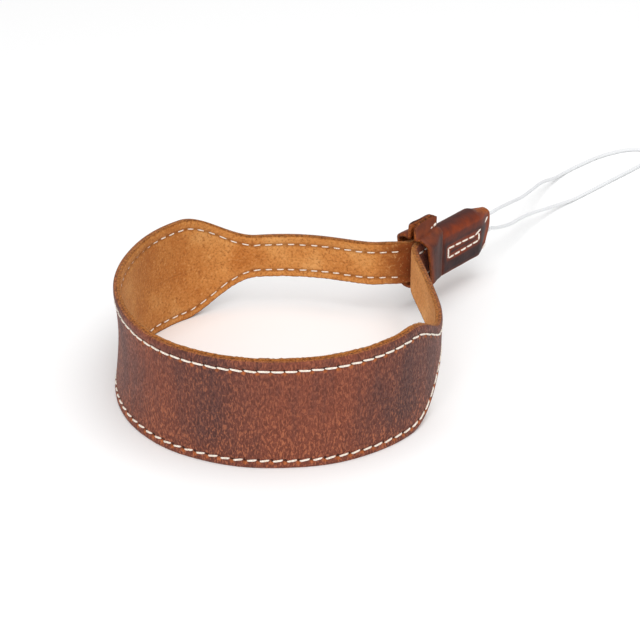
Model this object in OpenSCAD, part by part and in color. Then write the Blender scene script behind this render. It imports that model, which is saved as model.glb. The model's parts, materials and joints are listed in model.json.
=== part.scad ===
// Leather wrist strap: one long band of leather lined with suede, standing on its lower edge
// as a loop. Its two narrow ends lie side by side through a sliding keeper into a stitched
// tab, and a thin cord loop comes out of the tab's nose.
// Frame: origin under the middle of the leather parts, on the surface they stand on, +Z up.

/* [Band] */
// Height of the wide wrist pad, which is the height that the strap stands
pad_w = 35; // [26:1:45]
// Height of the narrow ends of the band
strap_w = 14.5; // [11:0.5:20]
// Thickness of the smooth outer leather
leather_t = 1.1; // [0.7:0.1:1.6]
// Thickness of the suede lining
lining_t = 1.1; // [0.7:0.1:1.6]
// Width of the loop's middle line from side to side
loop_w = 95; // [76:1:120]
// Depth of the loop's middle line from front to back
loop_d = 97; // [76:1:120]
// Squareness of the loop: 2 is an ellipse, more is squarer
loop_square = 2.2; // [2:0.1:2.6]
// Length of each narrow end, from where the two ends part to its shoulder
narrow_l = 48; // [36:1:58]
// Length of each shoulder between a narrow end and the pad
shoulder_l = 26; // [20:1:32]

/* [Seams] */
// Distance of the upper seam from the band's upper edge
top_inset = 3; // [1.5:0.1:4]
// Distance of the lower seam from the band's lower edge
bottom_inset = 2.5; // [1.5:0.1:4]
// Width of the sewing thread
thread_w = 0.5; // [0.3:0.1:0.8]
// How far the thread stands proud of the leather
thread_t = 0.25; // [0.15:0.05:0.4]

/* [Tab] */
// Direction that the tab points, from the loop's width towards its back
tab_angle = 47; // [35:1:60]
// Length of the tab from its mouth to its nose
tab_l = 27; // [25:0.5:38]
// Thickness of the tab's leather
tab_t = 1.3; // [0.8:0.1:1.8]
// Length that the nose takes to narrow
nose_l = 8; // [6:0.5:10]
// Thickness of the pinched nose at its end
nose_t = 3; // [2.6:0.2:4.4]
// Length of the box of stitches
box_l = 16.5; // [8:0.5:17]
// Height of the box of stitches
box_h = 3.8; // [3:0.2:8]

/* [Keeper] */
// Length of the keeper's strip along the strap
keeper_l = 11.4; // [9:0.2:12]
// Thickness of the keeper's leather
keeper_t = 1.2; // [0.8:0.1:1.6]
// Height of the sewn fin above the keeper's loop
fin_h = 4.2; // [3:0.2:7]
// How much further the fin reaches over the mouth than the side walls do
fin_reach = 3.2; // [0:0.2:3.4]
// How far each side wall flares outwards at the mouth
flare = 1.5; // [1.2:0.1:2]
// Length of the flared part of the side walls
flare_l = 4; // [3.6:0.2:5]
// Free play between the keeper and the seams on the straps
keeper_gap = 0.2; // [0.15:0.05:0.5]
// How far the keeper slides before the parting straps stop it
keeper_travel = 4; // [2:0.5:4]

/* [Cord] */
// Diameter of the cord
cord_d = 1.2; // [0.8:0.1:1.6]
// Diameter of the knot that holds the cord's ends inside the tab
knot_d = 3.2; // [2.8:0.1:3.8]

/* [Hidden] */
$fn = 48;

// Where the two straps part, as seen from above
crotch = [31.3, 30.5];
// Middle height of the whole band
mid_z = pad_w / 2;
// Gap between the two suede faces where the straps lie side by side
stem_gap = 0.2;
// Distance of each strap's middle plane from the tab's axis
stem_off = lining_t + stem_gap / 2;
// Spacing of the shape points where a strap bends away from the tab's axis
bend_l = 7;
// Directions in which the two straps leave, for the rear and the front strap
rear_angle = 173;
front_angle = -84;
// Place on the tab's axis where the seams on the lining begin, clear of each other
lining_seam_start = 1;
// Steps of the band between two shape points
STEPS = 6;

// Where the straps part, off the loop's centre, in shares of its half width and half depth
crotch_share = [0.88, 0.85];
// The loop's shape points lie at even angles round it, from the rear strap round the left
// side and the front to the right side
ring_first = 54;
ring_last = 382;
ring_count = 16;

// Keeper and tab places along the tab's axis, from the crotch
keeper_end = 12.4;
keeper_play = 0.3;
tab_start = keeper_end + keeper_play;
tab_end = tab_start + tab_l;
strap_end = tab_end - nose_l + 1;
box_start = tab_start + 2.8;
box_drop = 0.9;

// Heights of the narrow straps' edges, and the clearances round them
strap_top = mid_z + strap_w / 2;
strap_bottom = mid_z - strap_w / 2;
tab_fit = 0.05;
tab_skirt = 0.6;
keeper_fit = 0.4;

// Half thicknesses of the tab, outside and in its cavity
tab_in = stem_off + leather_t + tab_fit;
tab_out = tab_in + tab_t;
tab_top = strap_top + tab_fit + tab_t;
tab_bottom = strap_bottom - tab_skirt;

// Half widths and heights of the keeper, inside and outside
keeper_in = stem_off + leather_t + thread_t + keeper_gap;
keeper_out = keeper_in + keeper_t;
keeper_start = keeper_end - keeper_l;
wall_start = keeper_start + fin_reach;
keeper_top = strap_top + keeper_fit;
keeper_bottom = strap_bottom - keeper_fit;

// The cord's knot and the two places where its strands leave the nose
knot_a = tab_end - 4.5;
exit_rise = 2.9;

// Route of the cord from above the nose round to below it: across, back and height, where
// the height is a share of the height at which that strand leaves the nose
CORD_OUT = [[2, 2, 1], [5, 9, 0.9], [11, 22, 0.7], [16, 34, 0.5], [21, 46, 0.35],
            [26, 58, 0.2], [32, 68, 0.05], [37, 75, 0], [43, 81, 0], [51, 88, 0], [60, 93, 0],
            [67, 94, 0], [71, 91, 0]];
CORD_BACK = [[70, 86, 0], [64, 79, 0], [56, 71, 0], [47, 62, 0], [38, 53, 0], [29, 44, 0.1],
             [20, 33, 0.3], [15, 25, 0.45], [10, 16, 0.6], [5, 8, 0.8], [2, 2, 1]];

// ---- Functions -------------------------------------------------------------------------

axis_u = [cos(tab_angle), sin(tab_angle)];
axis_n = [-sin(tab_angle), cos(tab_angle)];

// A point at distance a along the tab's axis and b to its rear, seen from above
function on_axis(a, b) = crotch + a * axis_u + b * axis_n;

function unit(v) = v / norm(v);
function ease(x) = let (c = min(1, max(0, x))) c * c * (3 - 2 * c);

// One point of a uniform cubic B-spline between the second and third of four shape points
function bspline(p, i, t) =
    (pow(1 - t, 3) * p[i] + (3 * pow(t, 3) - 6 * t * t + 4) * p[i + 1]
     + (-3 * pow(t, 3) + 3 * t * t + 3 * t + 1) * p[i + 2] + pow(t, 3) * p[i + 3]) / 6;

// Shape points of a strap's straight end, from inside the tab to the crotch
stem_marks = [2 * strap_end - 2 * bend_l, strap_end, 2 * bend_l, bend_l, 0];
function turned(angle) = [cos(angle), sin(angle)];

// One shape point of the loop, on a squared-off ellipse. A B-spline runs inside its points by
// ring_pull, so they lie that much further out.
ring_step = (ring_last - ring_first) / (ring_count - 1);
ring_pull = (2 + cos(ring_step)) / 3;
function ring_point(angle) =
    let (d = turned(angle), n = loop_square,
         reach = pow(pow(abs(d[0]), n) + pow(abs(d[1]), n), -1 / n) / ring_pull)
    crotch + [(reach * d[0] - crotch_share[0]) * loop_w,
              (reach * d[1] - crotch_share[1]) * loop_d] / 2;

BAND_SHAPE = concat(
    [for (a = stem_marks) on_axis(a, stem_off)],
    [on_axis(0, stem_off) + bend_l * turned(rear_angle)],
    [for (k = [0 : ring_count - 1]) ring_point(ring_first + k * ring_step)],
    [on_axis(0, -stem_off) + bend_l * turned(front_angle)],
    [for (i = [len(stem_marks) - 1 : -1 : 0]) on_axis(stem_marks[i], -stem_off)]);

// The band's middle line, and the outward direction at each of its points
MIDDLE = [for (i = [0 : len(BAND_SHAPE) - 4], k = [0 : STEPS - 1])
              bspline(BAND_SHAPE, i, k / STEPS),
          bspline(BAND_SHAPE, len(BAND_SHAPE) - 4, 1)];
LAST = len(MIDDLE) - 1;
OUTWARD = [for (i = [0 : LAST])
               let (d = unit(MIDDLE[min(i + 1, LAST)] - MIDDLE[max(i - 1, 0)])) [d[1], -d[0]]];

// Distance along the band from its first end to each point
function run_to(i, total = 0) = concat([total],
    i >= LAST ? [] : run_to(i + 1, total + norm(MIDDLE[i + 1] - MIDDLE[i])));
RUN = run_to(0);

// Half height of the band at each point: narrow at both ends, wide between the shoulders
function half_w(i) =
    let (d = min(RUN[i], RUN[LAST] - RUN[i]) - strap_end)
    (strap_w + (pad_w - strap_w) * ease((d - narrow_l) / shoulder_l)) / 2;

// First and last points of the band that lie on the loop's side of distance a on the axis
function first_past(a, i = 0) = RUN[i] >= strap_end - a ? i : first_past(a, i + 1);

// ---- Shapes ----------------------------------------------------------------------------

// A closed skin over rings that each have the same number of points
module skin(rings) {
    n = len(rings[0]);
    m = len(rings);
    polyhedron(
        points = [for (r = rings, p = r) p],
        faces = concat(
            [[for (j = [n - 1 : -1 : 0]) j]],
            [[for (j = [0 : n - 1]) (m - 1) * n + j]],
            [for (i = [0 : m - 2], j = [0 : n - 1])
                 let (k = (j + 1) % n) [i * n + k, (i + 1) * n + j, i * n + j]],
            [for (i = [0 : m - 2], j = [0 : n - 1])
                 let (k = (j + 1) % n) [i * n + k, (i + 1) * n + k, (i + 1) * n + j]]));
}

// One corner of a ring: point i of the band, moved outwards by off, at height z
function corner(i, off, z) = let (p = MIDDLE[i] + off * OUTWARD[i]) [p[0], p[1], z];

// A layer of the band between two distances from its middle line
module band_layer(off_in, off_out) {
    skin([for (i = [0 : LAST]) let (w = half_w(i))
              [corner(i, off_in, mid_z - w), corner(i, off_out, mid_z - w),
               corner(i, off_out, mid_z + w), corner(i, off_in, mid_z + w)]]);
}

// A seam's thread that follows one edge of the band, from distance a on the axis
module seam(side, inset, off_in, off_out, a) {
    first = first_past(a);
    skin([for (i = [first : LAST - first])
              let (z = mid_z + side * (half_w(i) - inset))
              [corner(i, off_in, z - thread_w / 2), corner(i, off_out, z - thread_w / 2),
               corner(i, off_out, z + thread_w / 2), corner(i, off_in, z + thread_w / 2)]]);
}

// Puts its children in the tab's frame: X along the axis from the crotch, Y to the rear
module on_tab_axis() {
    translate([crotch[0], crotch[1], 0]) rotate([0, 0, tab_angle]) children();
}

// A block between two corners
module block(low, high) {
    translate(low) cube(high - low);
}

// A round rod between two points that lie in the tab's middle plane
module rod(p, q, r) {
    rise = atan2(q[2] - p[2], q[0] - p[0]);
    translate(p) rotate([0, 90 - rise, 0]) cylinder(h = norm(q - p), r = r);
}

knot_at = [knot_a, 0, mid_z];
exit_high = [tab_end, 0, mid_z + exit_rise];
exit_low = [tab_end, 0, mid_z - exit_rise];

// ---- Sub-parts -------------------------------------------------------------------------

module outer_leather() {
    color("#8a4a3a") band_layer(0, leather_t);
}

module suede_lining() {
    color("#bf7f43") band_layer(-lining_t, 0);
}

module top_seam() {
    color("#efe6d6") seam(1, top_inset, leather_t, leather_t + thread_t, tab_start);
}

module bottom_seam() {
    color("#efe6d6") seam(-1, bottom_inset, leather_t, leather_t + thread_t, tab_start);
}

module top_lining_seam() {
    color("#f2dfc6") seam(1, top_inset, -lining_t - thread_t, -lining_t, lining_seam_start);
}

module bottom_lining_seam() {
    color("#f2dfc6") seam(-1, bottom_inset, -lining_t - thread_t, -lining_t, lining_seam_start);
}

// The tab's outline from above: straight sides that narrow to the nose
module tab_plan() {
    polygon([[tab_start, -tab_out], [tab_end - nose_l, -tab_out], [tab_end, -nose_t / 2],
             [tab_end, nose_t / 2], [tab_end - nose_l, tab_out], [tab_start, tab_out]]);
}

// The tab's outline from the front: full height, then a top that falls to a round corner
// and an end that leans back to the lower corner
module tab_side() {
    nose_r = 4;
    nose_fall = 1.4;
    nose_lean = 2;
    full_l = tab_l - nose_l - 2.5;
    hull() {
        translate([tab_start, tab_bottom]) square([full_l, tab_top - tab_bottom]);
        translate([tab_end - nose_r, tab_top - nose_fall - nose_r]) circle(nose_r);
        translate([tab_end - nose_lean - 1, tab_bottom]) square(1);
    }
}

// The tab's section: a strip folded over the straps, with a round fold on top
module tab_section() {
    translate([0, tab_top - tab_out]) circle(tab_out);
    translate([-tab_out, tab_bottom]) square([2 * tab_out, tab_top - tab_out - tab_bottom]);
}

module tab_cover() {
    pocket_r = knot_d / 2 + 0.1;
    bore_r = cord_d / 2 + 0.05;
    color("#5d3a36") on_tab_axis() difference() {
        intersection() {
            linear_extrude(tab_top + 1) tab_plan();
            translate([0, tab_out + 1, 0]) rotate([90, 0, 0])
                linear_extrude(2 * tab_out + 2) tab_side();
            rotate([90, 0, 90]) linear_extrude(tab_end + 1) tab_section();
        }
        block([tab_start - 1, -tab_in, tab_bottom - 1],
              [strap_end + tab_fit, tab_in, strap_top + tab_fit]);
        translate([strap_end - 1, 0, mid_z]) rotate([0, 90, 0])
            cylinder(h = knot_a + pocket_r - strap_end + 1, r = pocket_r);
        for (q = [exit_high, exit_low])
            rod(knot_at, knot_at + 1.4 * (q - knot_at), bore_r);
    }
}

// A flat frame of thread, standing in the plane of the tab's side
module stitch_frame(y) {
    block_z = mid_z - box_drop - box_h / 2;
    translate([0, y, 0]) difference() {
        block([box_start, 0, block_z],
              [box_start + box_l, thread_t, block_z + box_h]);
        block([box_start + thread_w, -1, block_z + thread_w],
              [box_start + box_l - thread_w, 1, block_z + box_h - thread_w]);
    }
}

module tab_box_stitch() {
    color("#efe6d6") on_tab_axis() for (y = [-tab_out - thread_t, tab_out]) stitch_frame(y);
}

// Two short bar stitches on each side that close the nose, above and below the cord
module tab_end_stitches() {
    bar_l = 3;
    bar_gap = 2.5;
    taper = atan2(tab_out - nose_t / 2, nose_l);
    color("#efe6d6") on_tab_axis()
        for (z = [mid_z + exit_rise, tab_bottom + 1.2], side = [-1, 1])
            translate([tab_end - nose_l, side * tab_out, z]) rotate([0, 0, -side * taper])
                translate([bar_gap, side > 0 ? 0 : -thread_t, -thread_w / 2])
                    cube([bar_l, thread_t, thread_w]);
}

// The keeper's outline from above, at a half width w, flared at its mouth
module keeper_plan(w, from, to) {
    flare_end = wall_start + flare_l;
    spread = w + flare * (flare_end - from) / flare_l;
    polygon([[from, -spread], [flare_end, -w], [to, -w], [to, w], [flare_end, w],
             [from, spread]]);
}

module keeper_strip() {
    color("#6b3a30") on_tab_axis() {
        difference() {
            translate([0, 0, keeper_bottom - keeper_t])
                linear_extrude(keeper_top - keeper_bottom + 2 * keeper_t)
                    keeper_plan(keeper_out, wall_start, keeper_end);
            translate([0, 0, keeper_bottom]) linear_extrude(keeper_top - keeper_bottom)
                keeper_plan(keeper_in, wall_start - 1, keeper_end + 1);
        }
        block([keeper_start, -keeper_t, keeper_top],
              [keeper_end, keeper_t, keeper_top + keeper_t + fin_h]);
    }
}

// Rows of three stitches along the foot of the fin, one row on each face
module keeper_stitches() {
    stitch_l = 1.8;
    pitch = 2.7;
    first = keeper_start + 3.4;
    foot_z = keeper_top + keeper_t + 0.7;
    color("#efe6d6") on_tab_axis()
        for (k = [0 : 2], y = [-keeper_t - thread_t, keeper_t])
            translate([first + k * pitch, y, foot_z]) cube([stitch_l, thread_t, thread_w]);
}

module cord_knot() {
    color("#f4f4f2") on_tab_axis() translate(knot_at) sphere(knot_d / 2);
}

// One point of a smooth curve through the second and third of four points
function through(p, i, t) =
    0.5 * (2 * p[i + 1] + (p[i + 2] - p[i]) * t
           + (2 * p[i] - 5 * p[i + 1] + 4 * p[i + 2] - p[i + 3]) * t * t
           + (3 * p[i + 1] - p[i] - 3 * p[i + 2] + p[i + 3]) * pow(t, 3));

// A point of the tab's middle plane, in the strap's frame
function from_tab(p) = let (q = on_axis(p[0], 0)) [q[0], q[1], p[2]];

cord_r = cord_d / 2;
nose = from_tab(exit_high);
function routed(q, exit) = [nose[0] + q[0], nose[1] + q[1],
                            cord_r + q[2] * (exit[2] - cord_r)];
function off_floor(p) = [p[0], p[1], max(cord_r, p[2])];

CORD_PATH = concat(
    [from_tab(knot_at + (knot_at - exit_high) / 2), from_tab(knot_at), from_tab(exit_high)],
    [for (q = CORD_OUT) routed(q, exit_high)],
    [for (q = CORD_BACK) routed(q, exit_low)],
    [from_tab(exit_low), from_tab(knot_at), from_tab(knot_at + (knot_at - exit_low) / 2)]);
CORD_STEPS = 3;
CORD_LINE = [for (i = [0 : len(CORD_PATH) - 4], k = [0 : CORD_STEPS - 1])
                 off_floor(through(CORD_PATH, i, k / CORD_STEPS)),
             off_floor(through(CORD_PATH, len(CORD_PATH) - 4, 1))];

// The eight points round the cord at one place on its line
function cord_ring(line, i) =
    let (d = unit(line[min(i + 1, len(line) - 1)] - line[max(i - 1, 0)]),
         side = unit(cross(d, [0, 0, 1])), up = cross(side, d))
    [for (k = [0 : 7]) let (t = 45 * k + 22.5)
         line[i] + cord_r * (cos(t) * side + sin(t) * up)];

module cord_loop() {
    color("#f4f4f2") skin([for (i = [0 : len(CORD_LINE) - 1]) cord_ring(CORD_LINE, i)]);
}

outer_leather();
suede_lining();
top_seam();
bottom_seam();
top_lining_seam();
bottom_lining_seam();
tab_cover();
tab_box_stitch();
tab_end_stitches();
keeper_strip();
keeper_stitches();
cord_knot();
cord_loop();
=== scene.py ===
import json
import math
import random

import bmesh
import bpy
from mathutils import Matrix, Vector, noise


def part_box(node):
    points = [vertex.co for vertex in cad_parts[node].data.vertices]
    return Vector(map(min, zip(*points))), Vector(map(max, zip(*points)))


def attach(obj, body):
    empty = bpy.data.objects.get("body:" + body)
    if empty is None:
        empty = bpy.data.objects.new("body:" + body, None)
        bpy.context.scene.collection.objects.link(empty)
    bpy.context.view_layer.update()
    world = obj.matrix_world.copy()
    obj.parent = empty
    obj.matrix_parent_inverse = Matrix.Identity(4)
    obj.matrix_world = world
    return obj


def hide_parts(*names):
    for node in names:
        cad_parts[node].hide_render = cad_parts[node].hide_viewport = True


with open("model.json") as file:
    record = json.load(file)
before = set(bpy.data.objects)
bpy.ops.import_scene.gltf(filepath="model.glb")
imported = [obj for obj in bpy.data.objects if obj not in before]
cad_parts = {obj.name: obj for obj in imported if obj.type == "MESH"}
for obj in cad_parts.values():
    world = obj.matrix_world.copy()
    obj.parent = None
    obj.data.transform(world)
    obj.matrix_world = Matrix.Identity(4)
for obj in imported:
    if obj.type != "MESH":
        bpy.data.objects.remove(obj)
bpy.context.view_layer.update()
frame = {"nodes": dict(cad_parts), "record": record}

bl_info = {
    "name": "Leather wrist strap",
    "version": (1, 0, 0),
    "blender": (4, 5, 0),
    "location": "View3D > Sidebar > Wrist strap",
    "description": "Builds the leather, suede, stitching, keeper, tab and cord of a wrist strap",
    "category": "Object",
}

# ---- Places, in millimetres, in the frame of the imported parts and mounts -------------------

MM = 0.001


def mount(name):
    """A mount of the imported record."""
    return next(m for m in frame["record"]["mounts"] if m["name"] == name)


def box_mm(node):
    """The lowest and highest corner of a CAD node."""
    low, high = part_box(node)
    return low / MM, high / MM


NOSE = Vector(mount("cord_exit")["pos_m"]) / MM
AXIS = Vector(mount("cord_exit")["axis"])
SIDE = Vector((-AXIS.y, AXIS.x, 0))
UP = Vector((0, 0, 1))

PAD_TOP = box_mm("outer_leather")[1].z
MID_Z = PAD_TOP / 2
TAB_LOW, TAB_HIGH = (corner.z for corner in box_mm("tab_cover"))
KEEPER_LOW, FIN_TOP = (corner.z for corner in box_mm("keeper_strip"))

LEATHER = 1.1
LINING = 1.1
STRAP_W = 14.5
STEM_GAP = 0.2
STEM_OFF = LINING + STEM_GAP / 2
BEND = 7
REAR_ANGLE = 173
FRONT_ANGLE = -84
NARROW = 48
SHOULDER = 26
TOP_INSET = 3
BOTTOM_INSET = 2.5
PITCH = 3.75

KEEPER_START = 1
KEEPER_END = 12.4
TAB_START = 12.7
TAB_END = 39.7
NOSE_L = 8
STRAP_END = TAB_END - NOSE_L + 1
TAB_T = 1.3
KEEPER_T = 1.2
TAB_IN = STEM_OFF + LEATHER + 0.05
KEEPER_IN = STEM_OFF + LEATHER + 0.45
EXIT_RISE = 2.9
CORD_D = 1.2
NAP = 0.26
NOSE_HALF = 1.55
NO_SEAM = 9.0

CROTCH = NOSE - TAB_END * AXIS
CROTCH.z = 0

# The loop between the two bends: a squared-off ellipse, whose shape points lie at even angles
LOOP_W, LOOP_D = 95, 97
LOOP_SQUARE = 2.2
CROTCH_SHARE = (0.88, 0.85)
RING_FIRST, RING_LAST, RING_COUNT = 54, 382, 16

# Route of the cord from above the nose round to below it: across, back and share of the
# height at which that strand leaves the nose
CORD_OUT = [(2, 2, 1), (5, 9, 0.9), (11, 22, 0.7), (16, 34, 0.5), (21, 46, 0.35),
            (26, 58, 0.2), (32, 68, 0.05), (37, 75, 0), (43, 81, 0), (51, 88, 0), (60, 93, 0),
            (67, 94, 0), (71, 91, 0)]
CORD_BACK = [(70, 86, 0), (64, 79, 0), (56, 71, 0), (47, 62, 0), (38, 53, 0), (29, 44, 0.1),
             (20, 33, 0.3), (15, 25, 0.45), (10, 16, 0.6), (5, 8, 0.8), (2, 2, 1)]


def ease(x):
    """A smooth step from 0 to 1."""
    x = min(1, max(0, x))
    return x * x * (3 - 2 * x)


def bump(x, width):
    """A smooth hill of height 1 at x = 0."""
    return math.exp(-(x / width) ** 2)


def mix(a, b, share):
    return a + (b - a) * share


def on_axis(a, b, z=0):
    """A point at distance a along the tab's axis, b to its rear, at height z."""
    return CROTCH + a * AXIS + b * SIDE + z * UP


def turned(degrees):
    return Vector((math.cos(math.radians(degrees)), math.sin(math.radians(degrees)), 0))


def ring_points():
    """The loop's shape points. A B-spline runs inside its points by the share pull, so they
    lie that much further out."""
    step = (RING_LAST - RING_FIRST) / (RING_COUNT - 1)
    pull = (2 + math.cos(math.radians(step))) / 3
    points = []
    for k in range(RING_COUNT):
        d = turned(RING_FIRST + k * step)
        total = abs(d.x) ** LOOP_SQUARE + abs(d.y) ** LOOP_SQUARE
        reach = total ** (-1 / LOOP_SQUARE) / pull
        points.append(CROTCH + Vector(((reach * d.x - CROTCH_SHARE[0]) * LOOP_W,
                                       (reach * d.y - CROTCH_SHARE[1]) * LOOP_D, 0)) / 2)
    return points


def band_line(steps=24):
    """The band's middle line as a uniform cubic B-spline, from its rear end to its front end."""
    marks = [2 * STRAP_END - 2 * BEND, STRAP_END, 2 * BEND, BEND, 0]
    shape = [on_axis(a, STEM_OFF) for a in marks]
    shape.append(on_axis(0, STEM_OFF) + BEND * turned(REAR_ANGLE))
    shape += ring_points()
    shape.append(on_axis(0, -STEM_OFF) + BEND * turned(FRONT_ANGLE))
    shape += [on_axis(a, -STEM_OFF) for a in reversed(marks)]
    line = []
    for i in range(len(shape) - 3):
        last = i == len(shape) - 4
        for k in range(steps + last):
            t = k / steps
            line.append(((1 - t) ** 3 * shape[i] + (3 * t ** 3 - 6 * t * t + 4) * shape[i + 1]
                         + (-3 * t ** 3 + 3 * t * t + 3 * t + 1) * shape[i + 2]
                         + t ** 3 * shape[i + 3]) / 6)
    return line


LINE = band_line()
RUN = [0.0]
for before, after in zip(LINE, LINE[1:]):
    RUN.append(RUN[-1] + (after - before).length)
BAND_L = RUN[-1]


def along(s):
    """The middle line's place and outward direction at distance s from its rear end."""
    low, high = 0, len(RUN) - 2
    while low < high:
        middle = (low + high + 1) // 2
        if RUN[middle] <= s:
            low = middle
        else:
            high = middle - 1
    i = low
    share = (s - RUN[i]) / (RUN[i + 1] - RUN[i])

    def direction(k):
        d = LINE[min(k + 1, len(LINE) - 1)] - LINE[max(k - 1, 0)]
        return Vector((d.y, -d.x, 0)).normalized()

    return LINE[i].lerp(LINE[i + 1], share), direction(i).lerp(direction(i + 1), share).normalized()


def half_height(s):
    """Half the band's height: narrow at both ends, wide between the shoulders."""
    share = ease((min(s, BAND_L - s) - STRAP_END - NARROW) / SHOULDER)
    return mix(STRAP_W, PAD_TOP, share) / 2


def wave(s, z):
    """How far the soft band strays from a plain upright wall."""
    loose = ease((min(s, BAND_L - s) - STRAP_END - 12) / 20)
    slow = noise.noise(Vector((s * 0.045, z * 0.05, 3.1))) * 0.5
    height = z / PAD_TOP
    left_bow = bump(s - 160, 28) * (1.1 * (1 - height) ** 3 - 0.9 * math.sin(math.pi * height))
    return loose * slow + left_bow


def on_band(s, z, out):
    """The point at distance s along the band, height z, and out from its middle line."""
    place, outward = along(s)
    return place + (out + wave(s, z)) * outward + z * UP


# ---- Mesh helpers -----------------------------------------------------------------------------

def finish_piece(name, bm, material, body, nodes=()):
    """Turns a mesh made in millimetres into a piece that rides on a body."""
    bmesh.ops.recalc_face_normals(bm, faces=bm.faces)
    bmesh.ops.scale(bm, vec=(MM, MM, MM), verts=bm.verts)
    for face in bm.faces:
        face.smooth = True
    mesh = bpy.data.meshes.new(name)
    bm.to_mesh(mesh)
    bm.free()
    mesh.materials.append(material)
    piece = bpy.data.objects.new(name, mesh)
    bpy.context.scene.collection.objects.link(piece)
    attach(piece, body)
    if nodes:
        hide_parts(*nodes)
    return piece


def rolled(stations, ring, capped=True):
    """A grid rolled into a tube. ring(station) gives its closed section as a list of
    (point, values), where values are kept on the mesh as attributes, and UV is the
    distance along and the distance round, in metres."""
    rings = [ring(s) for s in stations]
    count = len(rings[0])
    bm = bmesh.new()
    uv = bm.loops.layers.uv.new("strip")
    layers = {key: bm.verts.layers.float.new(key) for key in rings[0][0][1]}
    bmesh.ops.create_grid(bm, x_segments=len(stations) - 1, y_segments=count, size=1)
    spot = {}
    for vert in bm.verts:
        i = round((vert.co.x + 1) / 2 * (len(stations) - 1))
        j = round((vert.co.y + 1) / 2 * count)
        spot[vert] = (i, j)
        vert.co, values = rings[i][j % count]
        for key, layer in layers.items():
            vert[layer] = values[key]
    rounds = []
    for points in rings:
        total = [0.0]
        for j in range(count):
            total.append(total[-1] + (points[(j + 1) % count][0] - points[j][0]).length)
        rounds.append(total)
    for face in bm.faces:
        for loop in face.loops:
            i, j = spot[loop.vert]
            loop[uv].uv = (stations[i] * MM, rounds[i][j] * MM)
    bmesh.ops.remove_doubles(bm, verts=bm.verts, dist=1e-5)
    if capped:
        edges = [edge for edge in bm.edges if edge.is_boundary]
        bmesh.ops.holes_fill(bm, edges=edges, sides=0)
    return bm


def spaced(start, end, step):
    """Even stations from start to end, about step apart."""
    count = max(1, round((end - start) / step))
    return [start + (end - start) * i / count for i in range(count + 1)]


def add_stitch(bm, length, width, height, place):
    """One thread stitch: a rod with sunk round ends, put down by place(along, across, out)."""
    made = bmesh.ops.create_uvsphere(bm, u_segments=8, v_segments=7, radius=1)
    for vert in made["verts"]:
        x, y, z = vert.co.z, vert.co.x, vert.co.y
        reach = math.copysign(abs(x) ** 0.4, x)
        dip = 0.45 * height * abs(reach) ** 5
        vert.co = place(reach * length / 2, y * width / 2, (z + 0.2) * height / 2 - dip)


# ---- Finishes -----------------------------------------------------------------------------------

def linear(code):
    """An sRGB hex colour as the linear colour that a shader takes."""
    parts = [int(code[i:i + 2], 16) / 255 for i in (1, 3, 5)]
    return [p / 12.92 if p <= 0.04045 else ((p + 0.055) / 1.055) ** 2.4 for p in parts] + [1]


def add(tree, kind, inputs=None, stops=None, **settings):
    """Adds a node. inputs are values or sockets by name or number; stops fill a colour ramp."""
    node = tree.nodes.new(kind)
    for name, value in settings.items():
        setattr(node, name, value)
    for key, value in (inputs or {}).items():
        if isinstance(value, bpy.types.NodeSocket):
            tree.links.new(value, node.inputs[key])
        else:
            node.inputs[key].default_value = value
    for i, (position, colour) in enumerate(stops or []):
        elements = node.color_ramp.elements
        stop = elements[i] if i < 2 else elements.new(position)
        stop.position = position
        stop.color = colour
    return node


def new_material(name):
    """A material with an empty tree and its output."""
    material = bpy.data.materials.new(name)
    material.use_nodes = True
    material.node_tree.nodes.clear()
    return material, material.node_tree


def blend(tree, share, below, above, kind="MIX"):
    """One colour laid over another by a share."""
    return add(tree, "ShaderNodeMix", {0: share, 6: below, 7: above}, data_type="RGBA",
               blend_type=kind).outputs[2]


def ranged(tree, value, low, high, to_low, to_high):
    """A value moved from one range to another, and held inside it."""
    return add(tree, "ShaderNodeMapRange", {0: value, 1: low, 2: high, 3: to_low,
                                            4: to_high}).outputs[0]


def shaded(tree, inputs):
    """Ends a material's tree with a surface that has these inputs."""
    shader = add(tree, "ShaderNodeBsdfPrincipled", inputs)
    add(tree, "ShaderNodeOutputMaterial", {0: shader.outputs[0]})


GREY = [[v, v, v, 1] for v in (0, 1)]


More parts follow.
